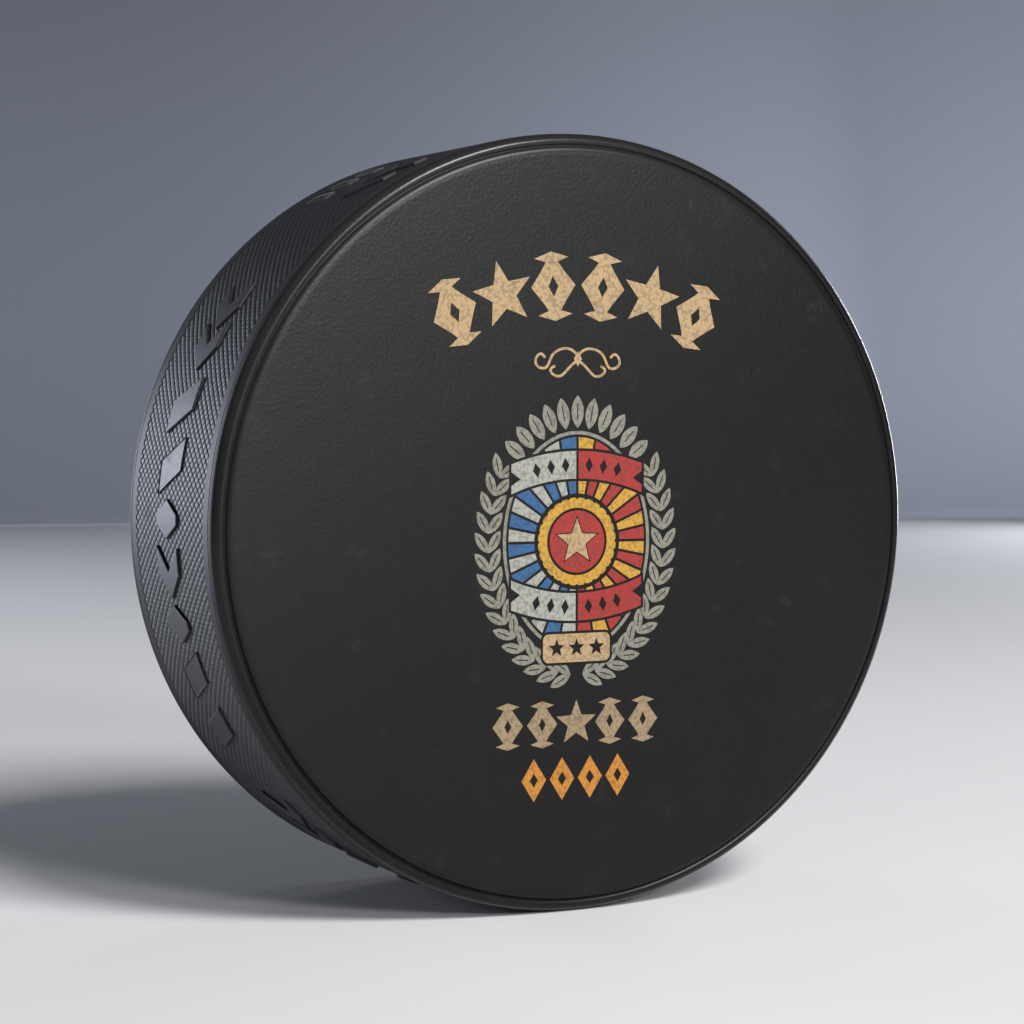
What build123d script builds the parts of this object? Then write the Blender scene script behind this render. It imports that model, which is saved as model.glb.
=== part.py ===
from build123d import *
import os
from math import cos, degrees, radians, sin, sqrt

os.makedirs("parts", exist_ok=True)

# An ice hockey puck, standing on its rim. Millimetres, +Z up, z = 0 where it meets the
# floor. The puck's axis runs along Y and the printed face looks towards -Y.

# One rubber moulding
PUCK_RADIUS = 38.1  # 3 in across the crests of the knurled band
PUCK_THICKNESS = 25.4  # 1 in
PAD_HEIGHT = 0.25  # raised pads stand this far out of the band
FOOT_ANGLE = 6.0  # the first pad starts this many degrees either side of the lowest line
AXIS_Z = (PUCK_RADIUS + PAD_HEIGHT) * cos(radians(FOOT_ANGLE))

# Edge of each face: flat, rounded edge, ring groove, rounded bead, mould seam, band
FACE_FLAT_RADIUS = 36.2
GROOVE_RADIUS = 36.9
GROOVE_INSIDE = GROOVE_RADIUS - 0.05  # where its rounded floor starts and ends
GROOVE_OUTSIDE = GROOVE_RADIUS + 0.06
GROOVE_DEPTH = 0.45
GROOVE_SAG = 0.02  # the floor is this much deeper in its middle
BEAD_INSIDE = (GROOVE_RADIUS + 0.17, 0.30)  # radius and depth half way up the bead
BEAD_CREST_RADIUS = 37.25
BEAD_CREST_DEPTH = 0.22
BEAD_SHOULDER = (PUCK_RADIUS - 0.25, 0.58)  # radius and depth half way round to the band
BEAD_END_DEPTH = 1.25
SEAM_DEPTH = 1.57  # from the face to the seam line
SEAM_WIDTH = 0.16
SEAM_CUT = 0.12

# Ink printed on the front face
INK = 0.05
FRONT = -PUCK_THICKNESS / 2
PRINT_X = -0.65  # the print sits a little to the left of the puck's axis
FACE_PLANE = Plane(origin=(PRINT_X, FRONT, AXIS_Z), x_dir=(1, 0, 0), z_dir=(0, -1, 0))
GAP = 0.26  # bare rubber left between two colours


# ---------------------------------------------------------------- puck body
def pad_frame(angle):
    """The plane that touches the pad tops at an angle from straight up, towards -X.

    Its x runs along the band, away from the top, and its y runs back along the puck's axis."""
    a = radians(angle)
    top = PUCK_RADIUS + PAD_HEIGHT
    return Plane(
        origin=(-top * sin(a), 0, AXIS_Z + top * cos(a)),
        x_dir=(-cos(a), 0, -sin(a)),
        z_dir=(-sin(a), 0, cos(a)),
    )


def bar(width, height, lean=0.0):
    """A smooth bar across the band, its ends shifted sideways by the lean."""
    w, h = width / 2, height / 2
    Polygon((-w - lean, -h), (w - lean, -h), (w + lean, h), (-w + lean, h), align=None)


def diamond(width, height):
    """A solid diamond across the band with its two ends cut off square."""
    w, h = width / 2, height / 2
    end = w * DIAMOND_END
    Polygon((-w, 0), (-end, -h), (end, -h), (w, 0), (end, h), (-end, h), align=None)


def chevron(width, height, stroke):
    """A V lying on its side, pointing away from the top of the puck."""
    w, h = width / 2, height / 2
    Polygon((-w, -h), (-w + stroke, -h), (w, 0), (-w + stroke, h), (-w, h), (w - stroke, 0), align=None)


PAD_TALL = 5.8  # pads across the band
PAD_ROOT = 1.6  # a pad reaches this far in from its top, to be rooted in the body
CHEVRON_STROKE = 2.6
DIAMOND_END = 0.25  # width of a diamond pad's cut ends against its middle
PAD_LEAN = 1.2  # sideways shift of a slanted bar's ends

# Angle from straight up of each pad's middle, and what it is. The same pads are on both sides.
BAND_PADS = [
    (56.6, "chevron", 5.0),
    (63.2, "chevron", 5.0),
    (72.3, "slanted", 5.6),
    (81.2, "slanted", 5.6),
    (88.9, "diamond", 3.8),
    (96.6, "chevron", 5.0),
    (104.2, "diamond", 3.8),
    (112.2, "slanted", 5.6),
    (121.0, "slanted", 5.6),
    (137.8, "chevron", 5.0),
    (144.4, "chevron", 5.0),
    (152.0, "diamond", 3.8),
    (160.5, "slanted", 5.6),
]
FOOT_WIDTH = 4.0  # the bar nearest the floor on each side

# The crest near the top: two nested chevrons and a row of three small bars. Angles are from
# straight up, and a shift is along the puck's axis, away from the printed face.
CREST_CHEVRON_ANGLES = (25.0, 30.5)
CREST_CHEVRON_SIZE = (4.4, 7.0)
CREST_CHEVRON_STROKE = 1.5
CREST_CHEVRON_SHIFT = -3.4
CREST_BAR_ANGLES = (23.5, 28.0, 32.5)
CREST_BAR_SIZE = (1.3, 3.4)
CREST_BAR_LEAN = 0.3
CREST_BAR_SHIFT = 4.6

with BuildPart() as pads:
    for angle, kind, width in BAND_PADS:
        with BuildSketch(pad_frame(angle)):
            if kind == "chevron":
                chevron(width, PAD_TALL, CHEVRON_STROKE)
            elif kind == "diamond":
                diamond(width, PAD_TALL)
            else:
                bar(width - 2 * PAD_LEAN, PAD_TALL, PAD_LEAN)
        extrude(amount=-PAD_ROOT)
    for angle in CREST_CHEVRON_ANGLES:
        with BuildSketch(pad_frame(angle)):
            with Locations((0, CREST_CHEVRON_SHIFT)):
                chevron(*CREST_CHEVRON_SIZE, CREST_CHEVRON_STROKE)
        extrude(amount=-PAD_ROOT)
    for angle in CREST_BAR_ANGLES:
        with BuildSketch(pad_frame(angle)):
            with Locations((0, CREST_BAR_SHIFT)):
                bar(*CREST_BAR_SIZE, CREST_BAR_LEAN)
        extrude(amount=-PAD_ROOT)
    # The foot bar's near edge is FOOT_ANGLE from the lowest line
    foot_middle = 180 - FOOT_ANGLE - FOOT_WIDTH / 2 / radians(1) / (PUCK_RADIUS + PAD_HEIGHT)
    with BuildSketch(pad_frame(foot_middle)):
        bar(FOOT_WIDTH, PAD_TALL)
    extrude(amount=-PAD_ROOT)
    mirror(about=Plane.YZ)
    # Every pad is trimmed to the round of the pad tops
    with BuildSketch(Plane.XZ.offset(-PAD_TALL)):
        with Locations((0, AXIS_Z)):
            Circle(PUCK_RADIUS + PAD_HEIGHT)
    extrude(amount=PAD_TALL * 2, mode=Mode.INTERSECT)

with BuildPart() as puck_body:
    with BuildSketch(Plane.XY.offset(AXIS_Z)):
        with BuildLine():
            seam = FRONT + SEAM_DEPTH
            groove_floor = FRONT + GROOVE_DEPTH
            crest = FRONT + BEAD_CREST_DEPTH
            Line((0, 0), (0, FRONT))
            Line((0, FRONT), (FACE_FLAT_RADIUS, FRONT))
            TangentArc((FACE_FLAT_RADIUS, FRONT), (GROOVE_INSIDE, groove_floor), tangent=(1, 0))
            ThreePointArc(
                (GROOVE_INSIDE, groove_floor),
                (GROOVE_RADIUS, groove_floor + GROOVE_SAG),
                (GROOVE_OUTSIDE, groove_floor),
            )
            ThreePointArc(
                (GROOVE_OUTSIDE, groove_floor),
                (BEAD_INSIDE[0], FRONT + BEAD_INSIDE[1]),
                (BEAD_CREST_RADIUS, crest),
            )
            ThreePointArc(
                (BEAD_CREST_RADIUS, crest),
                (BEAD_SHOULDER[0], FRONT + BEAD_SHOULDER[1]),
                (PUCK_RADIUS, FRONT + BEAD_END_DEPTH),
            )
            Polyline(
                (PUCK_RADIUS, FRONT + BEAD_END_DEPTH),
                (PUCK_RADIUS, seam - SEAM_WIDTH / 2),
                (PUCK_RADIUS - SEAM_CUT, seam),
                (PUCK_RADIUS, seam + SEAM_WIDTH / 2),
                (PUCK_RADIUS, 0),
                (0, 0),
            )
        make_face()
        mirror(about=Plane.XZ)
    revolve(axis=Axis((0, 0, AXIS_Z), (0, 1, 0)))
    add(pads.part)

puck_body.part.label = "puck_body"
export_step(puck_body.part, "parts/puck_body.step")


# ------------------------------------------------- print: arch of ornaments
ARCH_RADIUS = 32.6  # to the middle of the ornaments
ARCH_TOP = 23.3  # height of the arch's middle ornament over the puck's axis
ARCH_STEP = 9.6  # degrees between ornaments
ARCH_TALL = 6.7
ARCH_STAR = 3.3


def lozenge(width, height, waist=0.0):
    """A four-pointed figure; a waist draws its sides in."""
    w, h = width / 2, height / 2
    q = 0.5 - waist
    Polygon(
        (w, 0), (w * q, h * q), (0, h), (-w * q, h * q),
        (-w, 0), (-w * q, -h * q), (0, -h), (w * q, -h * q),
        align=None,
    )


def star(radius, inner=0.42):
    """A five-pointed star, one point up."""
    points = []
    for i in range(10):
        r = radius if i % 2 == 0 else radius * inner
        a = radians(90 + 36 * i)
        points.append((r * cos(a), r * sin(a)))
    Polygon(*points, align=None)


def crown_lozenge(height):
    """A drawn-in lozenge between two wedges, with a small lozenge left open in its middle."""
    with BuildSketch(mode=Mode.PRIVATE) as shape:
        lozenge(height * 0.72, height, 0.02)
        with Locations((0, height * 0.41), (0, -height * 0.41)):
            lozenge(height * 0.56, height * 0.18)
        with BuildSketch(mode=Mode.PRIVATE) as opening:
            lozenge(height * 0.16, height * 0.30)
        add(opening.sketch, mode=Mode.SUBTRACT)
    return shape.sketch


with BuildPart() as arch_ornaments:
    with BuildSketch(FACE_PLANE):
        for i in range(6):
            turn = (i - 2.5) * ARCH_STEP
            a = radians(90 - turn)
            centre = (ARCH_RADIUS * cos(a), ARCH_TOP - ARCH_RADIUS + ARCH_RADIUS * sin(a))
            with Locations(Location((centre[0], centre[1], 0), (0, 0, -turn))):
                if i in (1, 4):
                    star(ARCH_STAR)
                else:
                    add(crown_lozenge(ARCH_TALL))
    extrude(amount=INK)

arch_ornaments.part.label = "print_arch_ornaments"
export_step(arch_ornaments.part, "parts/print_arch_ornaments.step")


# ------------------------------------------------------- print: flourish
FLOURISH_HEIGHT = 16.2  # its middle over the puck's axis
FLOURISH_STROKE = 0.26

with BuildPart() as flourish:
    with BuildSketch(FACE_PLANE):
        with BuildLine():
            Spline(
                (0.0, FLOURISH_HEIGHT + 0.2),
                (1.3, FLOURISH_HEIGHT + 1.0),
                (2.9, FLOURISH_HEIGHT + 0.2),
                (3.6, FLOURISH_HEIGHT - 0.9),
                (4.6, FLOURISH_HEIGHT - 0.5),
                (4.3, FLOURISH_HEIGHT + 0.4),
                (3.6, FLOURISH_HEIGHT + 0.1),
            )
        trace(line_width=FLOURISH_STROKE)
        with BuildLine():
            Spline(
                (0.0, FLOURISH_HEIGHT - 0.2),
                (1.2, FLOURISH_HEIGHT - 1.1),
                (2.2, FLOURISH_HEIGHT - 1.7),
                (3.0, FLOURISH_HEIGHT - 1.2),
                (2.5, FLOURISH_HEIGHT - 0.7),
            )
        trace(line_width=FLOURISH_STROKE)
        mirror(about=Plane.YZ)
        with Locations((0, FLOURISH_HEIGHT)):
            lozenge(0.9, 1.5)
    extrude(amount=INK)

flourish.part.label = "print_flourish"
export_step(flourish.part, "parts/print_flourish.step")


# --------------------------------------------------------- print: emblem
EMBLEM_HEIGHT = -1.6  # its middle over the puck's axis
EMBLEM_HALF_WIDTH = 10.9
EMBLEM_HALF_TALL = 14.3
RAY_COUNT = 32
RAY_INNER_RADIUS = 4.7
RAY_HALF_WIDTH = 7.5  # the rays end on an oval of this size
RAY_HALF_TALL = 10.2
BORDER_WIDTH = 0.34  # the oval line round the rays
RING_OUTER_RADIUS = 4.3
RING_INNER_RADIUS = 3.3
BOSS_RADIUS = RING_INNER_RADIUS - GAP
BOSS_STAR = 2.3
BOSS_STAR_GAP = 0.3  # bare rubber between the star's points and the boss
SCALLOPS = 28
SCALLOP_RADIUS = 0.24
SCALLOP_OUT = 0.12  # a scallop's middle is this far outside the ring
LEAF_LENGTH = 2.5
LEAF_WIDTH = 1.0
VEIN_WIDTH = 0.11  # bare line along the middle of a leaf
RIBBON_TALL = 2.7
RIBBON_HALF_WIDTH = 7.2
RIBBON_RADIUS = 20.0  # both ribbons are bent to this radius
RIBBON_NOTCH = 1.0  # depth of the V cut in a ribbon's end
RIBBON_NOTCH_HALF = 0.8  # half its height
RIBBON_NOTCH_OVER = 0.2  # the cut starts this far beyond the end
RIBBON_MARKS = (1.3, 2.9, 4.5)  # diamonds left open in a ribbon, from its middle
RIBBON_MARK_SIZE = (0.85, 1.5)
# Height of each ribbon's middle over the emblem's, and 1 if it arches up or -1 if it sags
RIBBONS = ((7.5, 1), (-6.4, -1))

EMBLEM_PLANE = FACE_PLANE * Pos(0, EMBLEM_HEIGHT)


def oval_point(half_width, half_tall, angle):
    a = radians(angle)
    return (half_width * cos(a), half_tall * sin(a))


def oval_heading(half_width, half_tall, angle):
    """Direction of travel along the oval, anticlockwise, in degrees."""
    a = radians(angle)
    along = Vector(-half_width * sin(a), half_tall * cos(a))
    return Vector(1, 0).get_signed_angle(along, Vector(0, 0, 1))


def leaf(length, width):
    """A pointed leaf along +X, starting at the origin, with a bare vein."""
    with BuildSketch(mode=Mode.PRIVATE) as shape:
        with BuildLine():
            ThreePointArc((0, 0), (length / 2, width / 2), (length, 0))
            ThreePointArc((length, 0), (length / 2, -width / 2), (0, 0))
        make_face()
        with Locations((length * 0.52, 0)):
            Rectangle(length * 0.5, VEIN_WIDTH, mode=Mode.SUBTRACT)
    return shape.sketch


def ribbon_outlines(grow):
    """Both ribbons over their whole width, each line moved out by grow."""
    with BuildSketch(mode=Mode.PRIVATE) as shape:
        for middle, bend in RIBBONS:
            with BuildSketch(mode=Mode.PRIVATE) as ribbon:
                with Locations((0, middle - bend * RIBBON_RADIUS)):
                    Circle(RIBBON_RADIUS + RIBBON_TALL / 2 + grow)
                    Circle(RIBBON_RADIUS - RIBBON_TALL / 2 - grow, mode=Mode.SUBTRACT)
                with Locations((0, middle)):
                    Rectangle(2 * (RIBBON_HALF_WIDTH + grow), RIBBON_TALL * 3, mode=Mode.INTERSECT)
            add(ribbon.sketch)
    return shape.sketch


# A small plate across the foot of the oval, with three stars left open in it
PLATE_WIDTH = 7.4
PLATE_TALL = 2.8
PLATE_DROP = 10.4  # below the emblem's middle
PLATE_CORNER = 0.6
PLATE_STAR = 0.95
PLATE_STAR_STEP = 2.2


def plate_outline(grow):
    with BuildSketch(mode=Mode.PRIVATE) as shape:
        with Locations((0, -PLATE_DROP)):
            RectangleRounded(PLATE_WIDTH + 2 * grow, PLATE_TALL + 2 * grow, PLATE_CORNER + grow)
    return shape.sketch


with BuildPart() as plate:
    with BuildSketch(EMBLEM_PLANE):
        add(plate_outline(0))
        with BuildSketch(mode=Mode.PRIVATE) as openings:
            for i in (-1, 0, 1):
                with Locations((i * PLATE_STAR_STEP, -PLATE_DROP)):
                    star(PLATE_STAR)
        add(openings.sketch, mode=Mode.SUBTRACT)
    extrude(amount=INK)

plate.part.label = "emblem_plate"
export_step(plate.part, "parts/emblem_plate.step")


# Leaves stand in pairs along a stem round the lower part of the oval
STEM_INSET = 1.25
STEM_HALF_WIDTH = EMBLEM_HALF_WIDTH - STEM_INSET
STEM_HALF_TALL = EMBLEM_HALF_TALL - STEM_INSET
LEAF_PAIRS = 15
FIRST_PAIR = -86  # degrees round the oval, anticlockwise from the right
PAIR_STEP = 8.2
LEAF_SPREAD = 33  # degrees between a leaf and the stem

with BuildPart() as wreath:
    with BuildSketch(EMBLEM_PLANE):
        for i in range(LEAF_PAIRS):
            at = FIRST_PAIR + i * PAIR_STEP
            x, y = oval_point(STEM_HALF_WIDTH, STEM_HALF_TALL, at)
            heading = oval_heading(STEM_HALF_WIDTH, STEM_HALF_TALL, at)
            for spread in (-LEAF_SPREAD, LEAF_SPREAD):
                with Locations(Location((x, y, 0), (0, 0, heading + spread))):
                    add(leaf(LEAF_LENGTH, LEAF_WIDTH))
        mirror(about=Plane.YZ)
        add(plate_outline(GAP), mode=Mode.SUBTRACT)
        add(ribbon_outlines(GAP), mode=Mode.SUBTRACT)
    extrude(amount=INK)

wreath.part.label = "emblem_wreath"
export_step(wreath.part, "parts/emblem_wreath.step")

# The oval line between the rays and the leaves, broken by the plate and the ribbons
with BuildPart() as border:
    with BuildSketch(EMBLEM_PLANE):
        Ellipse(RAY_HALF_WIDTH + GAP + BORDER_WIDTH, RAY_HALF_TALL + GAP + BORDER_WIDTH)
        Ellipse(RAY_HALF_WIDTH + GAP, RAY_HALF_TALL + GAP, mode=Mode.SUBTRACT)
        add(plate_outline(GAP), mode=Mode.SUBTRACT)
        add(ribbon_outlines(GAP), mode=Mode.SUBTRACT)
    extrude(amount=INK)

border.part.label = "emblem_border"
export_step(border.part, "parts/emblem_border.step")

# A fan of petals over the top of the oval
PETALS = 11
PETAL_STEP = 8.6  # degrees round the oval
PETAL_LENGTH = 3.2  # of the middle one
PETAL_TAPER = 0.9  # how fast they get shorter towards the ends
PETAL_WIDTH = 1.35
with BuildPart() as crest:
    with BuildSketch(EMBLEM_PLANE):
        for i in range(PETALS):
            from_middle = i - (PETALS - 1) / 2
            at = 90 + from_middle * PETAL_STEP
            reach = GAP + BORDER_WIDTH + GAP
            x, y = oval_point(RAY_HALF_WIDTH + reach, RAY_HALF_TALL + reach, at)
            length = PETAL_LENGTH - PETAL_TAPER * abs(from_middle) / PETALS
            outward = oval_heading(RAY_HALF_WIDTH, RAY_HALF_TALL, at) - 90
            with Locations(Location((x, y, 0), (0, 0, outward))):
                add(leaf(length, PETAL_WIDTH))
        add(ribbon_outlines(GAP), mode=Mode.SUBTRACT)
    extrude(amount=INK)

crest.part.label = "emblem_crest"
export_step(crest.part, "parts/emblem_crest.step")


def ray_film(numbers):
    """The rays with these numbers, anticlockwise from the right, clear of the ribbons and plate."""
    with BuildPart() as film:
        with BuildSketch(EMBLEM_PLANE):
            for i in numbers:
                with Locations(Location((0, 0, 0), (0, 0, (i + 0.5) * 360 / RAY_COUNT))):
                    near = RAY_INNER_RADIUS
                    far = RAY_HALF_TALL + 1
                    half = radians(180 / RAY_COUNT)
                    Polygon(
                        (near, near * half - GAP / 2), (near, -near * half + GAP / 2),
                        (far, -far * half + GAP / 2), (far, far * half - GAP / 2),
                        align=None,
                    )
            Ellipse(RAY_HALF_WIDTH, RAY_HALF_TALL, mode=Mode.INTERSECT)
            add(ribbon_outlines(GAP), mode=Mode.SUBTRACT)
            add(plate_outline(GAP), mode=Mode.SUBTRACT)
        extrude(amount=INK)
    return film.part


left_rays = range(RAY_COUNT // 4, RAY_COUNT * 3 // 4)
right_rays = [i for i in range(RAY_COUNT) if i not in left_rays]
RAY_FILMS = {
    "emblem_rays_blue": [i for i in left_rays if i % 2 == 0],
    "emblem_rays_white": [i for i in left_rays if i % 2 == 1],
    "emblem_rays_red": [i for i in right_rays if i % 2 == 0],
    "emblem_rays_gold": [i for i in right_rays if i % 2 == 1],
}
for name, numbers in RAY_FILMS.items():
    rays = ray_film(numbers)
    rays.label = name
    export_step(rays, "parts/" + name + ".step")

# The two ribbons change colour at the emblem's middle; each half has its own film
for name, side in (("emblem_ribbons_white", -1), ("emblem_ribbons_red", 1)):
    with BuildPart() as ribbons:
        with BuildSketch(EMBLEM_PLANE):
            add(ribbon_outlines(0))
            with Locations((side * (GAP / 2 + EMBLEM_HALF_WIDTH / 2), 0)):
                Rectangle(EMBLEM_HALF_WIDTH, 2 * EMBLEM_HALF_TALL, mode=Mode.INTERSECT)
            with BuildSketch(mode=Mode.PRIVATE) as openings:
                for middle, bend in RIBBONS:
                    for along in RIBBON_MARKS:
                        turn = along / RIBBON_RADIUS
                        x = side * RIBBON_RADIUS * sin(turn)
                        y = middle - bend * RIBBON_RADIUS * (1 - cos(turn))
                        with Locations(Location((x, y, 0), (0, 0, -side * bend * degrees(turn)))):
                            lozenge(*RIBBON_MARK_SIZE)
                    # The V in the ribbon's end
                    tip = RIBBON_HALF_WIDTH - RIBBON_NOTCH
                    drop = RIBBON_RADIUS - sqrt(RIBBON_RADIUS**2 - RIBBON_HALF_WIDTH**2)
                    y = middle - bend * drop
                    beyond = RIBBON_HALF_WIDTH + RIBBON_NOTCH_OVER
                    Polygon(
                        (side * tip, y),
                        (side * beyond, y - RIBBON_NOTCH_HALF),
                        (side * beyond, y + RIBBON_NOTCH_HALF),
                        align=None,
                    )
            add(openings.sketch, mode=Mode.SUBTRACT)
        extrude(amount=INK)
    ribbons.part.label = name
    export_step(ribbons.part, "parts/" + name + ".step")

# The ring round the boss has a scalloped outer edge
with BuildPart() as ring:
    with BuildSketch(EMBLEM_PLANE):
        Circle(RING_OUTER_RADIUS)
        with PolarLocations(RING_OUTER_RADIUS + SCALLOP_OUT, SCALLOPS):
            Circle(SCALLOP_RADIUS, mode=Mode.SUBTRACT)
        Circle(RING_INNER_RADIUS, mode=Mode.SUBTRACT)
    extrude(amount=INK)

ring.part.label = "emblem_ring"
export_step(ring.part, "parts/emblem_ring.step")

with BuildPart() as boss:
    with BuildSketch(EMBLEM_PLANE):
        Circle(BOSS_RADIUS)
        with BuildSketch(mode=Mode.PRIVATE) as star_opening:
            star(BOSS_STAR + BOSS_STAR_GAP)
        add(star_opening.sketch, mode=Mode.SUBTRACT)
    extrude(amount=INK)

boss.part.label = "emblem_boss"
export_step(boss.part, "parts/emblem_boss.step")

with BuildPart() as boss_star:
    with BuildSketch(EMBLEM_PLANE):
        star(BOSS_STAR)
    extrude(amount=INK)

boss_star.part.label = "emblem_star"
export_step(boss_star.part, "parts/emblem_star.step")


# --------------------------------------- print: two rows below the emblem
ROW_HEIGHT = -19.4  # the tan row's middle over the puck's axis
ROW_TALL = 4.6
ROW_STEP = 3.75
ROW_STAR = 2.3
BASE_HEIGHT = -24.8  # the orange row's middle
BASE_SIZE = (2.7, 4.2)
BASE_OPENING = (0.9, 1.4)
BASE_STEP = 3.1

with BuildPart() as lower_row:
    with BuildSketch(FACE_PLANE):
        for i in range(5):
            with Locations(((i - 2) * ROW_STEP, ROW_HEIGHT)):
                if i == 2:
                    star(ROW_STAR)
                else:
                    add(crown_lozenge(ROW_TALL))
    extrude(amount=INK)

lower_row.part.label = "print_lower_row"
export_step(lower_row.part, "parts/print_lower_row.step")

with BuildPart() as base_row:
    with BuildSketch(FACE_PLANE):
        for i in range(4):
            with Locations(((i - 1.5) * BASE_STEP, BASE_HEIGHT)):
                lozenge(*BASE_SIZE)
                with BuildSketch(mode=Mode.PRIVATE) as opening:
                    lozenge(*BASE_OPENING)
                add(opening.sketch, mode=Mode.SUBTRACT)
    extrude(amount=INK)

base_row.part.label = "print_base_row"
export_step(base_row.part, "parts/print_base_row.step")
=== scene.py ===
import math

import bpy
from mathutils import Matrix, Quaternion, Vector


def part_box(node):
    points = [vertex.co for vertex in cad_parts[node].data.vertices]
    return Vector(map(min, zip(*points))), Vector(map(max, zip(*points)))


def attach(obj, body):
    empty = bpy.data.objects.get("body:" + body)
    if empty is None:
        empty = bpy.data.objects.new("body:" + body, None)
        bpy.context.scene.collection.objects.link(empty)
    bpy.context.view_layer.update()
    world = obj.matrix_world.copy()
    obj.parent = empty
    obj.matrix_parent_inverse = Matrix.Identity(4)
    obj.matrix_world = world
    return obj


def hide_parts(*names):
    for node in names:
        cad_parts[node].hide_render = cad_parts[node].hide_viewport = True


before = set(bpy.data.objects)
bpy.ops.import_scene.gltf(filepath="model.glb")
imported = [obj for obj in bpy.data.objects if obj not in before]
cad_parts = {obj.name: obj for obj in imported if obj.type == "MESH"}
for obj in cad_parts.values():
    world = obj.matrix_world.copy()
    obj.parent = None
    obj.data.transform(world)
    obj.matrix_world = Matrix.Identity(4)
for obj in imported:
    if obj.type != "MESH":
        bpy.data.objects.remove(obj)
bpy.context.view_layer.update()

# ---------------------------------------------------------------------------
# The puck's two faces and rims. One black rubber moulding: each face is flat with a
# pebbled grain, then a rounded edge, a ring groove, a smooth bead and the mould's
# parting seam, and ends in a plain margin where the knurling starts.
# ---------------------------------------------------------------------------
MM = 0.001
PUCK_RADIUS = 38.1 * MM
BODY_LOW, BODY_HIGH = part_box("puck_body")
HALF_THICK = (BODY_HIGH.y - BODY_LOW.y) / 2
AXIS = Vector((0, 0, BODY_HIGH.z - PUCK_RADIUS))
RING_STEPS = 256

# Radius, and depth below the face, along the rim from the flat out to the margin
RIM_PROFILE = (
    (30.00, 0.000),
    (36.00, 0.000),
    (36.30, 0.010),
    (36.50, 0.050),
    (36.66, 0.130),
    (36.76, 0.240),
    (36.82, 0.370),
    (36.87, 0.440),
    (36.92, 0.450),
    (36.97, 0.400),
    (37.04, 0.310),
    (37.14, 0.245),
    (37.26, 0.220),
    (37.40, 0.240),
    (37.55, 0.310),
    (37.70, 0.410),
    (37.83, 0.540),
    (37.94, 0.710),
    (38.02, 0.900),
    (38.07, 1.120),
    (38.10, 1.400),
    (38.10, 1.490),
    (37.99, 1.555),
    (37.99, 1.585),
    (38.10, 1.650),
    (38.10, 2.960),
    (37.75, 2.975),
)


def nothing_selected():
    if bpy.context.object and bpy.context.object.mode != "OBJECT":
        bpy.ops.object.mode_set(mode="OBJECT")
    bpy.ops.object.select_all(action="DESELECT")


def extruded_ring(radius_from, radius_to, step):
    """From the selected ring of edges, pulls out the next ring of the turned shape."""
    bpy.ops.mesh.extrude_edges_move(TRANSFORM_OT_translate={"value": (0, step, 0)})
    grow = radius_to / radius_from
    bpy.ops.transform.resize(value=(grow, 1, grow), center_override=AXIS)


def turned_rim(name, side):
    """One face with its rim, turned about the puck's axis. side is -1 for the printed face."""
    nothing_selected()
    radius, depth = RIM_PROFILE[0]
    bpy.ops.mesh.primitive_circle_add(
        vertices=RING_STEPS,
        radius=radius * MM,
        fill_type="TRIFAN",
        location=(0, side * HALF_THICK, AXIS.z),
        rotation=(math.pi / 2, 0, 0),
    )
    rim = bpy.context.object
    rim.name = name
    bpy.ops.object.transform_apply(location=True, rotation=True, scale=True)
    bpy.ops.object.mode_set(mode="EDIT")
    bpy.ops.mesh.select_mode(type="EDGE")
    bpy.ops.mesh.select_all(action="DESELECT")
    bpy.ops.mesh.select_non_manifold()
    for next_radius, next_depth in RIM_PROFILE[1:]:
        extruded_ring(radius, next_radius, -side * (next_depth - depth) * MM)
        radius, depth = next_radius, next_depth
    bpy.ops.mesh.select_all(action="SELECT")
    bpy.ops.mesh.normals_make_consistent(inside=False)
    bpy.ops.object.mode_set(mode="OBJECT")
    bpy.ops.object.shade_smooth_by_angle(angle=math.radians(35))
    return rim


front_rim = turned_rim("front_face_and_rim", -1)
back_rim = turned_rim("back_face_and_rim", 1)


class Field:
    """A number that varies over a surface. Arithmetic on it adds Math nodes."""

    def __init__(self, surface, socket):
        self.surface = surface
        self.socket = socket

    def combined(self, operation, first, second):
        return self.surface.node("ShaderNodeMath", {"operation": operation}, {0: first, 1: second})

    def __add__(self, other):
        return self.combined("ADD", self, other)

    __radd__ = __add__

    def __sub__(self, other):
        return self.combined("SUBTRACT", self, other)

    def __rsub__(self, other):
        return self.combined("SUBTRACT", other, self)

    def __mul__(self, other):
        return self.combined("MULTIPLY", self, other)

    __rmul__ = __mul__


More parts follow.
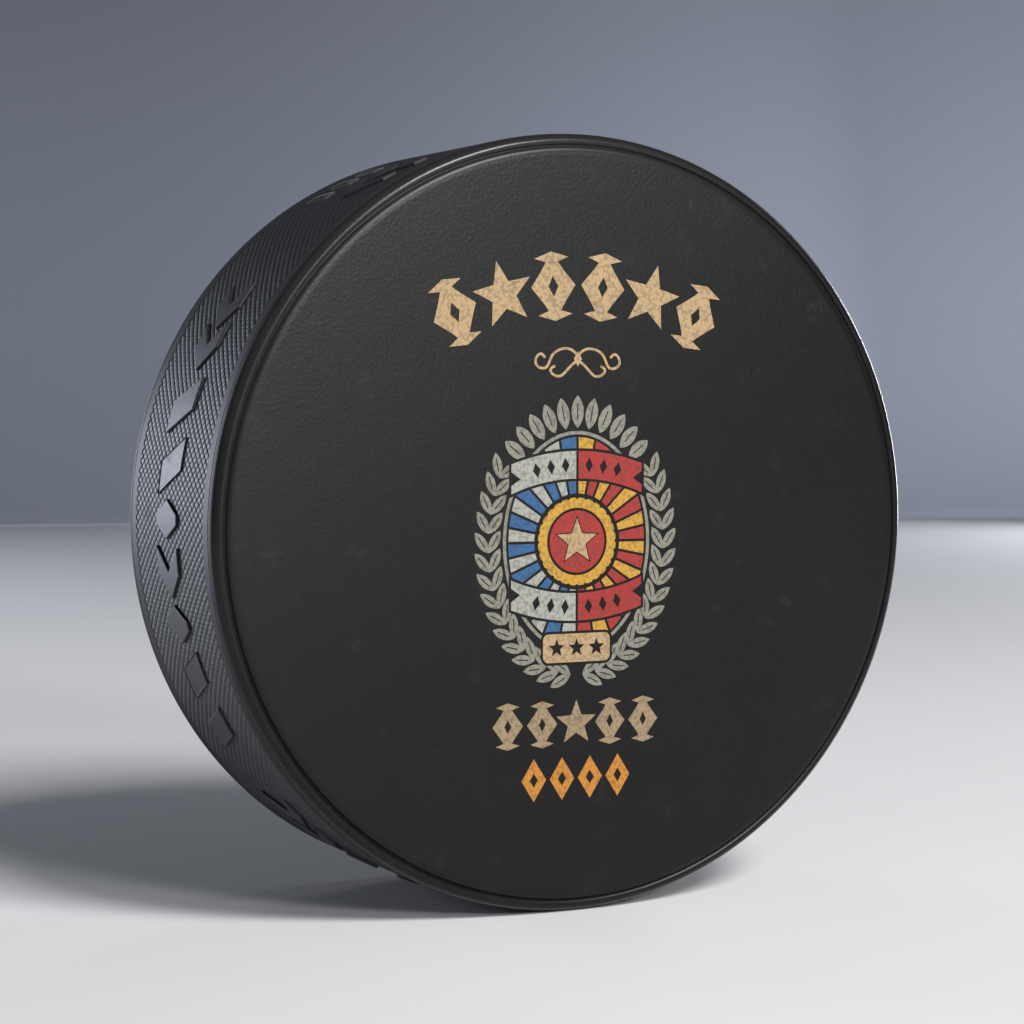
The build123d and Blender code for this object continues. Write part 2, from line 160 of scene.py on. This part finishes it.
class Surface:
    """A procedural material. node() adds a shader node and returns one of its outputs."""

    def __init__(self, name):
        self.material = bpy.data.materials.new(name)
        self.material.use_nodes = True
        self.tree = self.material.node_tree
        self.tree.nodes.clear()

    def node(self, kind, settings=None, sockets=None, output=0):
        made = self.tree.nodes.new(kind)
        for setting, value in (settings or {}).items():
            setattr(made, setting, value)
        for key, value in (sockets or {}).items():
            if isinstance(value, Field):
                self.tree.links.new(value.socket, made.inputs[key])
            else:
                made.inputs[key].default_value = value
        return Field(self, made.outputs[output]) if made.outputs else None

    def place(self):
        return self.node("ShaderNodeTexCoord", output="Object")

    def noise(self, scale, detail=2.0, roughness=0.5):
        return self.node(
            "ShaderNodeTexNoise",
            {"noise_dimensions": "3D"},
            {"Vector": self.place(), "Scale": scale, "Detail": detail, "Roughness": roughness},
        )

    def remap(self, value, low, high, to_low=0.0, to_high=1.0):
        return self.node(
            "ShaderNodeMapRange",
            {"clamp": True, "interpolation_type": "SMOOTHSTEP"},
            {"Value": value, "From Min": low, "From Max": high, "To Min": to_low, "To Max": to_high},
        )

    def blended(self, share, first, second):
        """Two colours mixed by a share from 0 to 1."""
        mix = self.tree.nodes.new("ShaderNodeMix")
        mix.data_type = "RGBA"
        for socket, value in ((mix.inputs[0], share), (mix.inputs[6], first), (mix.inputs[7], second)):
            if isinstance(value, Field):
                self.tree.links.new(value.socket, socket)
            else:
                socket.default_value = value if isinstance(value, float) else (*value, 1)
        return Field(self, mix.outputs[2])

    def bumped(self, height, depth):
        return self.node("ShaderNodeBump", None, {"Strength": 1.0, "Distance": depth, "Height": height})

    def finish(self, colour, roughness, normal, specular):
        principled = self.node(
            "ShaderNodeBsdfPrincipled",
            None,
            {
                "Base Color": colour,
                "Roughness": roughness,
                "Normal": normal,
                "Specular IOR Level": specular,
            },
        )
        self.node("ShaderNodeOutputMaterial", None, {"Surface": principled})
        return self.material


def pebble_height(surface):
    """The moulded grain of the faces: low rounded pebbles under a millimetre across, 0 to 1."""
    place = surface.place()
    swirl = surface.node("ShaderNodeTexNoise", None, {"Vector": place, "Scale": 1500, "Detail": 2}, 1)
    wander = surface.node("ShaderNodeVectorMath", {"operation": "SCALE"}, {0: swirl, "Scale": 0.0003})
    bent = surface.node("ShaderNodeVectorMath", {"operation": "ADD"}, {0: place, 1: wander})
    pebbles = surface.node(
        "ShaderNodeTexVoronoi",
        {"feature": "SMOOTH_F1"},
        {"Vector": bent, "Scale": 3000, "Smoothness": 0.6},
    )
    fine = surface.noise(4200, 3, 0.6)
    broad = surface.noise(800, 2)
    return (1 - pebbles) * 0.62 + fine * 0.30 + broad * 0.2


# Where the rim's finish changes, as radii between which one finish gives way to the next
SMOOTH_FROM, SMOOTH_TO = 35.9 * MM, 36.3 * MM
SHOULDER_FROM, SHOULDER_TO = 37.3 * MM, 37.5 * MM
DULL_FROM, DULL_TO = 37.95 * MM, 38.08 * MM
GRAIN_BUMP = 0.045 * MM
PAINTED_SHEEN_LEAN = 0.6  # how much the painted sheen leans to the left for each step up
# Heights, up less the lean times across, over which the painted sheen comes in on the faces
PAINTED_SHEEN_FROM, PAINTED_SHEEN_TO = 10 * MM, 95 * MM


def rubber_face():
    s = Surface("rubber_pebbled")
    height = pebble_height(s)
    mottle = s.noise(60, 4, 0.55)
    scuffs = s.remap(s.noise(240, 5, 0.7), 0.56, 0.74)
    black = s.blended(mottle, (0.005, 0.005, 0.0051), (0.0075, 0.0075, 0.0077))
    # Not a change in the rubber: paler paint here stands in for a broad soft sheen, upper left
    across = s.node("ShaderNodeSeparateXYZ", None, {0: s.place()}, 0)
    up = s.node("ShaderNodeSeparateXYZ", None, {0: s.place()}, 2)
    sheen = s.remap(up - across * PAINTED_SHEEN_LEAN, PAINTED_SHEEN_FROM, PAINTED_SHEEN_TO)
    black = s.blended(sheen * sheen, black, (0.023, 0.023, 0.023))
    colour = s.blended(scuffs * 0.25, black, (0.035, 0.035, 0.036))
    # The bead is moulded smooth and shines more; the plain edge outside it is rubbed dull
    from_axis = s.node("ShaderNodeVectorMath", {"operation": "SUBTRACT"}, {0: s.place(), 1: AXIS})
    flat = s.node("ShaderNodeVectorMath", {"operation": "MULTIPLY"}, {0: from_axis, 1: (1, 0, 1)})
    radius = s.node("ShaderNodeVectorMath", {"operation": "LENGTH"}, {0: flat}, 1)
    bead = s.remap(radius, SMOOTH_FROM, SMOOTH_TO)
    edge = s.remap(radius, DULL_FROM, DULL_TO)
    grain = s.remap(height, 0.4, 1.0, 0.44, 0.35) + scuffs * 0.06
    shoulder = s.remap(radius, SHOULDER_FROM, SHOULDER_TO)
    roughness = grain * (1 - bead) + bead * 0.34 - shoulder * 0.12 + edge * 0.32
    return s.finish(colour, roughness, s.bumped(height * (1 - bead * 0.8), GRAIN_BUMP), 0.23)


front_rim.data.materials.append(rubber_face())
back_rim.data.materials.append(front_rim.data.materials[0])
for rim in (front_rim, back_rim):
    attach(rim, "root")

# ---------------------------------------------------------------------------
# The edge band. It is knurled all round in the mould: small diamonds in staggered
# rows, for the stick's grip. Smooth pads stand a quarter of a millimetre
# out of the knurling, as raised marks do on such a band.
# ---------------------------------------------------------------------------
DIAMONDS_ROUND = 256
DIAMOND_WIDE = 2 * math.pi * PUCK_RADIUS / DIAMONDS_ROUND
DIAMOND_TALL = 1.21 * MM
DIAMOND_DEEP = 0.09 * MM
# The two steps up a diamond's side: how far in, and the share of its height
DIAMOND_STEPS = ((0.07 * MM, 0.59), (0.10 * MM, 0.32))
DIAMOND_POINT = 0.09  # the share of its height left for the point
FULL_ROWS = 16  # the staggered rows between and outside them are one more
KNURL_HALF = FULL_ROWS / 2 * DIAMOND_TALL
KNURL_END_RISE = 0.06 * MM  # over this the knurling rises to the plain margin
MERGE_WITHIN = 0.002 * MM
CUT_WITHIN = 0.0005 * MM
PAD_HEIGHT = BODY_HIGH.x - PUCK_RADIUS


def flat_primitive(kind, centre, **sizes):
    """A flat primitive facing -Y, on the strip that the band is before it is rolled up."""
    nothing_selected()
    kind(location=(centre[0], 0, centre[1]), rotation=(math.pi / 2, 0, 0), **sizes)
    piece = bpy.context.object
    bpy.ops.object.transform_apply(location=True, rotation=True, scale=True)
    return piece


def repeated(piece, count, step):
    """The piece repeated count times at a step, made one mesh."""
    array = piece.modifiers.new("rows", "ARRAY")
    array.count = count
    array.use_relative_offset = False
    array.use_constant_offset = True
    array.constant_offset_displace = step
    bpy.context.view_layer.objects.active = piece
    bpy.ops.object.modifier_apply(modifier=array.name)


def diamond_rows(first_x, first_z, rows):
    diamond = flat_primitive(
        bpy.ops.mesh.primitive_circle_add, (first_x, first_z), vertices=4, radius=1, fill_type="NGON"
    )
    bpy.ops.object.mode_set(mode="EDIT")
    bpy.ops.mesh.select_all(action="SELECT")
    bpy.ops.transform.resize(
        value=(DIAMOND_WIDE / 2, 1, DIAMOND_TALL / 2), center_override=(first_x, 0, first_z)
    )
    bpy.ops.transform.translate(value=(0, DIAMOND_DEEP, 0))
    for inwards, share in DIAMOND_STEPS:
        bpy.ops.mesh.inset(thickness=inwards, depth=0)
        bpy.ops.transform.translate(value=(0, -share * DIAMOND_DEEP, 0))
    bpy.ops.mesh.poke(offset=DIAMOND_POINT * DIAMOND_DEEP)
    bpy.ops.object.mode_set(mode="OBJECT")
    repeated(diamond, DIAMONDS_ROUND, (DIAMOND_WIDE, 0, 0))
    repeated(diamond, rows, (0, 0, DIAMOND_TALL))
    return diamond


STRIP_LEFT = -math.pi * PUCK_RADIUS
LOWEST_FULL_ROW = -(FULL_ROWS - 1) / 2 * DIAMOND_TALL
full_rows = diamond_rows(STRIP_LEFT + DIAMOND_WIDE / 2, LOWEST_FULL_ROW, FULL_ROWS)
between_rows = diamond_rows(STRIP_LEFT + DIAMOND_WIDE, -KNURL_HALF, FULL_ROWS + 1)

nothing_selected()
full_rows.select_set(True)
between_rows.select_set(True)
bpy.context.view_layer.objects.active = full_rows
bpy.ops.object.join()
knurling = full_rows
knurling.name = "knurled_band"
bpy.ops.object.mode_set(mode="EDIT")
bpy.ops.mesh.select_all(action="SELECT")
bpy.ops.mesh.remove_doubles(threshold=MERGE_WITHIN)
for end in (-1, 1):
    bpy.ops.mesh.select_all(action="SELECT")
    bpy.ops.mesh.bisect(
        plane_co=(0, 0, end * KNURL_HALF), plane_no=(0, 0, end), clear_outer=True, threshold=CUT_WITHIN
    )
    bpy.ops.mesh.extrude_edges_move(TRANSFORM_OT_translate={"value": (0, 0, end * KNURL_END_RISE)})
    bpy.ops.transform.resize(value=(1, 0, 1), center_override=(0, 0, 0))
bpy.ops.object.mode_set(mode="OBJECT")


def rolled_up(piece):
    """Bends the flat strip piece round the puck: along X it goes round the band, -Y is outward."""
    nothing_selected()
    piece.select_set(True)
    bpy.context.view_layer.objects.active = piece
    along = [vertex.co.x for vertex in piece.data.vertices]
    bend = piece.modifiers.new("roll", "SIMPLE_DEFORM")
    bend.deform_method = "BEND"
    bend.deform_axis = "Z"
    bend.angle = (max(along) - min(along)) / PUCK_RADIUS
    bpy.ops.object.modifier_apply(modifier=bend.name)
    piece.rotation_euler = (-math.pi / 2, 0, 0)
    piece.location = (0, 0, AXIS.z + PUCK_RADIUS)
    bpy.ops.object.transform_apply(location=True, rotation=True, scale=True)
    bpy.ops.object.mode_set(mode="EDIT")
    bpy.ops.mesh.select_all(action="SELECT")
    bpy.ops.mesh.remove_doubles(threshold=MERGE_WITHIN)
    bpy.ops.mesh.normals_make_consistent(inside=False)
    bpy.ops.object.mode_set(mode="OBJECT")
    bpy.ops.object.shade_smooth_by_angle(angle=math.radians(40))


rolled_up(knurling)

# Pad sizes in millimetres, before the pads are scaled
PAD_TALL = 5.8
DIAMOND_END = 0.25  # width of a diamond's cut ends against its middle
PAD_LEAN = 1.2
CHEVRON_STROKE = 2.6
CREST_CHEVRON_TALL = 7.0
CREST_CHEVRON_SHIFT = -3.4  # across the band
CREST_CHEVRON_STROKE = 1.5
CREST_BAR_TALL = 3.4
CREST_BAR_SHIFT = 4.6
CREST_BAR_LEAN = 0.3
ROW_APART = 0.1 * MM  # a vertex nearer the pad's middle line than this is in its middle row
PAD_SUNK = 0.2 * MM  # a pad's foot is this far under the knurling's crests
# The rounded top edge of a pad, in two steps: how far in, and how far up
PAD_EDGE_STEPS = ((0.03 * MM, 0.05 * MM), (0.06 * MM, 0.03 * MM))
PAD_EDGE_HIGH = sum(up for inwards, up in PAD_EDGE_STEPS)
PAD_CUT_STEP = 0.7 * MM
# Kind, middle in degrees from straight up, width. The same pads stand on both sides.
BAND_PADS = (
    ("chevron", 56.6, 5.0),
    ("chevron", 63.2, 5.0),
    ("slanted", 72.3, 5.6),
    ("slanted", 81.2, 5.6),
    ("diamond", 88.9, 3.8),
    ("chevron", 96.6, 5.0),
    ("diamond", 104.2, 3.8),
    ("slanted", 112.2, 5.6),
    ("slanted", 121.0, 5.6),
    ("chevron", 137.8, 5.0),
    ("chevron", 144.4, 5.0),
    ("diamond", 152.0, 3.8),
    ("slanted", 160.5, 5.6),
    ("bar", 171.0, 4.0),
    ("crest_chevron", 25.0, 4.4),
    ("crest_chevron", 30.5, 4.4),
    ("crest_bar", 23.5, 1.3),
    ("crest_bar", 28.0, 1.3),
    ("crest_bar", 32.5, 1.3),
)


def pad_outline(kind, degrees, width):
    """A pad's flat outline in four-sided faces, on the left half of the strip."""
    middle = -math.radians(degrees) * PUCK_RADIUS
    height, raised, lean = PAD_TALL, 0.0, 0.0
    if kind == "crest_chevron":
        height, raised = CREST_CHEVRON_TALL, CREST_CHEVRON_SHIFT
    elif kind == "crest_bar":
        height, raised, lean = CREST_BAR_TALL, CREST_BAR_SHIFT, CREST_BAR_LEAN
    elif kind == "slanted":
        width, lean = width - 2 * PAD_LEAN, PAD_LEAN
    centre = (middle, raised * MM)
    stroke = {"chevron": CHEVRON_STROKE, "crest_chevron": CREST_CHEVRON_STROKE}.get(kind, width)
    pad = flat_primitive(
        bpy.ops.mesh.primitive_grid_add, centre, x_subdivisions=1, y_subdivisions=2, size=1 * MM
    )
    bpy.ops.object.mode_set(mode="EDIT")
    bpy.ops.mesh.select_mode(type="VERT")
    bpy.ops.mesh.select_all(action="SELECT")
    bpy.ops.transform.resize(value=(stroke, 1, height), center_override=(middle, 0, centre[1]))
    # Rows of the grid are moved along the strip: the middle one for a chevron, the ends for a lean
    for row, shift in (("middle", stroke - width), ("ends", width - stroke), ("low", lean), ("high", -lean)):
        bpy.ops.mesh.select_all(action="DESELECT")
        bpy.ops.object.mode_set(mode="OBJECT")
        for vertex in pad.data.vertices:
            offset = vertex.co.z - centre[1]
            in_row = {
                "middle": abs(offset) < ROW_APART,
                "ends": abs(offset) > ROW_APART,
                "low": offset < -ROW_APART,
                "high": offset > ROW_APART,
            }[row]
            vertex.select = in_row
        bpy.ops.object.mode_set(mode="EDIT")
        by = shift / 2 if row in ("middle", "ends") else shift
        bpy.ops.transform.translate(value=(by * MM, 0, 0))
        if kind == "diamond" and row == "ends":
            bpy.ops.transform.resize(value=(DIAMOND_END, 1, 1), center_override=(middle, 0, centre[1]))
    bpy.ops.object.mode_set(mode="OBJECT")
    return pad


outlines = [pad_outline(*pad) for pad in BAND_PADS]
nothing_selected()
for outline in outlines:
    outline.select_set(True)
pads = outlines[0]
bpy.context.view_layer.objects.active = pads
bpy.ops.object.join()
pads.name = "raised_pads"
bpy.ops.object.mode_set(mode="EDIT")
bpy.ops.mesh.select_mode(type="FACE")
bpy.ops.mesh.select_all(action="SELECT")
bpy.ops.mesh.normals_make_consistent(inside=False)
if sum(face.normal.y for face in pads.data.polygons) > 0:
    bpy.ops.mesh.flip_normals()
# A pad's foot starts below the knurling's floor, its wall is upright and its top edge rounded
bpy.ops.transform.translate(value=(0, PAD_SUNK, 0))
bpy.ops.mesh.extrude_region_move(
    TRANSFORM_OT_translate={"value": (0, -(PAD_SUNK + PAD_HEIGHT - PAD_EDGE_HIGH), 0)}
)
for inwards, up in PAD_EDGE_STEPS:
    bpy.ops.mesh.inset(thickness=inwards, depth=up)
# Cuts across the strip let the pads follow the band's curve
for cut in range(int(math.pi * PUCK_RADIUS / PAD_CUT_STEP)):
    bpy.ops.mesh.select_all(action="SELECT")
    bpy.ops.mesh.bisect(plane_co=(-cut * PAD_CUT_STEP, 0, 0), plane_no=(1, 0, 0), threshold=CUT_WITHIN)
bpy.ops.object.mode_set(mode="OBJECT")
other_side = pads.modifiers.new("other side", "MIRROR")
other_side.use_mirror_merge = False
bpy.ops.object.modifier_apply(modifier=other_side.name)
rolled_up(pads)
# The pads' tops stay crisp at their edges
bpy.ops.object.shade_smooth_by_angle(angle=math.radians(12))


def rubber_band():
    s = Surface("rubber_knurled")
    fine = s.noise(2600, 4, 0.6)
    patches = s.noise(90, 4, 0.6)
    black = s.blended(patches, (0.013, 0.0135, 0.015), (0.019, 0.0195, 0.0215))
    scuffs = s.remap(s.noise(300, 5, 0.7), 0.58, 0.74)
    colour = s.blended(scuffs * 0.3, black, (0.04, 0.041, 0.045))
    roughness = 0.46 + fine * 0.12 + scuffs * 0.1
    return s.finish(colour, roughness, s.bumped(fine, 0.00002), 0.5)


knurling.data.materials.append(rubber_band())
pads.data.materials.append(knurling.data.materials[0])
for piece in (knurling, pads):
    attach(piece, "root")
for piece in (front_rim, back_rim, knurling, pads):
    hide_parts("puck_body")

# ---------------------------------------------------------------------------
# The print on the front face. Each colour is one pass of screen-printing ink, a thin
# matt film bonded to the rubber, and the face's pebbled grain stands through it.
# ---------------------------------------------------------------------------
INKS = {
    "print_arch_ornaments": ("cream", (0.50, 0.345, 0.18)),
    "print_flourish": ("cream", (0.50, 0.345, 0.18)),
    "print_lower_row": ("tan", (0.36, 0.26, 0.15)),
    "print_base_row": ("orange", (0.60, 0.24, 0.03)),
    "emblem_wreath": ("stone", (0.27, 0.26, 0.21)),
    "emblem_crest": ("stone", (0.27, 0.26, 0.21)),
    "emblem_border": ("stone", (0.27, 0.26, 0.21)),
    "emblem_ribbons_white": ("white", (0.40, 0.395, 0.345)),
    "emblem_ribbons_red": ("red", (0.38, 0.03, 0.025)),
    "emblem_plate": ("cream", (0.50, 0.345, 0.18)),
    "emblem_rays_blue": ("blue", (0.03, 0.12, 0.28)),
    "emblem_rays_white": ("white", (0.40, 0.395, 0.345)),
    "emblem_rays_red": ("red", (0.38, 0.03, 0.025)),
    "emblem_rays_gold": ("gold", (0.60, 0.33, 0.04)),
    "emblem_ring": ("gold", (0.60, 0.33, 0.04)),
    "emblem_boss": ("red", (0.38, 0.03, 0.025)),
    "emblem_star": ("cream", (0.50, 0.345, 0.18)),
}


def ink(name, colour):
    s = Surface("ink_" + name)
    height = pebble_height(s)
    thin = s.remap(s.noise(700, 4, 0.7), 0.52, 0.72)
    pits = s.remap(height, 0.42, 0.62, 1.0, 0.0)
    darker = tuple(0.72 * c for c in colour)
    shade = s.blended(s.noise(150, 3) * 0.6 + s.noise(1100, 2) * 0.4, darker, colour)
    worn = s.blended(thin * 0.22 + pits * 0.35, shade, (0.04, 0.038, 0.036))
    return s.finish(worn, 0.58 + thin * 0.1, s.bumped(height, 0.00007), 0.35)


ink_materials = {}
for node, (colour_name, colour) in INKS.items():
    if colour_name not in ink_materials:
        ink_materials[colour_name] = ink(colour_name, colour)
    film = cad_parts[node]
    film.data.materials.clear()
    film.data.materials.append(ink_materials[colour_name])

# ---------------------------------------------------------------------------
# The studio: a pale floor that turns up into a grey-blue wall, soft lights and the
# camera, a little to the left of the puck and level with its upper half.
# ---------------------------------------------------------------------------
FLOOR_FRONT, FLOOR_BACK, FLOOR_HALF, WALL_HIGH = -2.2, 0.711, 4.0, 2.5
WALL_TURN = math.radians(-13)
nothing_selected()
bpy.ops.mesh.primitive_plane_add(size=2, location=(0, (FLOOR_FRONT + FLOOR_BACK) / 2, 0))
sweep = bpy.context.object
sweep.name = "studio_sweep"
bpy.ops.object.transform_apply(location=True)
bpy.ops.object.mode_set(mode="EDIT")
bpy.ops.mesh.select_all(action="SELECT")
bpy.ops.transform.resize(
    value=(FLOOR_HALF, (FLOOR_BACK - FLOOR_FRONT) / 2, 1),
    center_override=(0, (FLOOR_FRONT + FLOOR_BACK) / 2, 0),
)
bpy.ops.mesh.select_all(action="DESELECT")
bpy.ops.object.mode_set(mode="OBJECT")
for edge in sweep.data.edges:
    edge.select = all(sweep.data.vertices[i].co.y > FLOOR_BACK - 0.01 for i in edge.vertices)
bpy.ops.object.mode_set(mode="EDIT")
bpy.ops.mesh.select_mode(type="EDGE")
bpy.ops.mesh.extrude_edges_move(TRANSFORM_OT_translate={"value": (0, 0, WALL_HIGH)})
bpy.ops.object.mode_set(mode="OBJECT")
cove = sweep.modifiers.new("cove", "BEVEL")
cove.width = 0.004
cove.segments = 6
bpy.context.view_layer.objects.active = sweep
bpy.ops.object.modifier_apply(modifier=cove.name)
sweep.rotation_euler = (0, 0, WALL_TURN)
bpy.ops.object.transform_apply(rotation=True)
bpy.ops.object.shade_smooth()


def studio_paper():
    s = Surface("studio_paper")
    across = s.node("ShaderNodeSeparateXYZ", None, {0: s.place()}, 0)
    depth = s.node("ShaderNodeSeparateXYZ", None, {0: s.place()}, 1)
    height = s.node("ShaderNodeSeparateXYZ", None, {0: s.place()}, 2)
    grain = s.noise(30, 3)
    # Painted in place of light falling off: the floor darkens towards the wall, and the wall is
    # paler low down and to the right, and dark high up
    pale = s.blended(grain, (0.74, 0.745, 0.76), (0.77, 0.775, 0.79))
    floor = s.blended(s.remap(depth + across * 0.9, 0.12, 0.92), pale, (0.37, 0.385, 0.42))
    right = s.remap(across, 0.14, 0.63)
    low = s.remap(height, 0.30, 0.05)
    glow = right * 0.42 + low * 0.33 + right * low * 0.22
    wall = s.blended(glow, (0.110, 0.121, 0.150), (0.35, 0.38, 0.46))
    wall = s.blended(s.remap(height, 0.32, 0.60), wall, (0.03, 0.033, 0.04))
    colour = s.blended(s.remap(height, 0.0001, 0.0012), floor, wall)
    return s.finish(colour, 0.8 + grain * 0.05, s.bumped(grain, 0.00002), 0.15)


sweep.data.materials.append(studio_paper())


def soft_light(name, place, target, size, watts, colour):
    lamp = bpy.data.lights.new(name, "AREA")
    lamp.shape = "RECTANGLE"
    lamp.size, lamp.size_y = size
    lamp.energy = watts
    lamp.color = colour
    holder = bpy.data.objects.new(name, lamp)
    holder.location = place
    holder.rotation_euler = (Vector(target) - Vector(place)).to_track_quat("-Z", "Y").to_euler()
    bpy.context.scene.collection.objects.link(holder)


puck_middle = (0, 0, AXIS.z)
soft_light("key_front", (0.16, -0.60, 0.62), puck_middle, (0.24, 0.24), 7.3, (1.0, 0.99, 0.975))
soft_light("panel_front", (0.11, -0.78, 0.356), (-0.01, 0, 0.06), (0.14, 0.14), 2.2, (1.0, 1.0, 1.0))
soft_light("panel_behind_left", (-0.30, 0.56, 0.09), puck_middle, (0.30, 0.15), 1.9, (0.80, 0.85, 1.0))
soft_light("panel_right", (0.60, 0.46, 0.10), puck_middle, (0.12, 0.22), 1.6, (1.0, 1.0, 1.0))
soft_light("wall_wash", (1.05, 0.25, 0.45), (0.85, 0.62, 0.20), (0.3, 0.5), 2.0, (0.95, 0.97, 1.0))

world = bpy.data.worlds.new("studio_air")
bpy.context.scene.world = world
world.use_nodes = True
world.node_tree.nodes["Background"].inputs["Color"].default_value = (0.84, 0.92, 1.0, 1)
world.node_tree.nodes["Background"].inputs["Strength"].default_value = 0.06
bpy.context.scene.view_settings.view_transform = "Standard"

camera_data = bpy.data.cameras.new("camera")
camera_data.sensor_width = 36
camera_data.lens = 86.45
camera_data.clip_start = 0.01
camera = bpy.data.objects.new("camera", camera_data)
bpy.context.scene.collection.objects.link(camera)
CAMERA_TURN, CAMERA_TILT, CAMERA_ROLL = 0.4664, -0.0478, 0.0035
camera.location = (-0.11414, -0.22402, 0.05087)
looking = Vector(
    (
        math.sin(CAMERA_TURN) * math.cos(CAMERA_TILT),
        math.cos(CAMERA_TURN) * math.cos(CAMERA_TILT),
        math.sin(CAMERA_TILT),
    )
)
aim = looking.to_track_quat("-Z", "Y") @ Quaternion((0, 0, 1), CAMERA_ROLL)
camera.rotation_euler = aim.to_euler()
bpy.context.scene.camera = camera
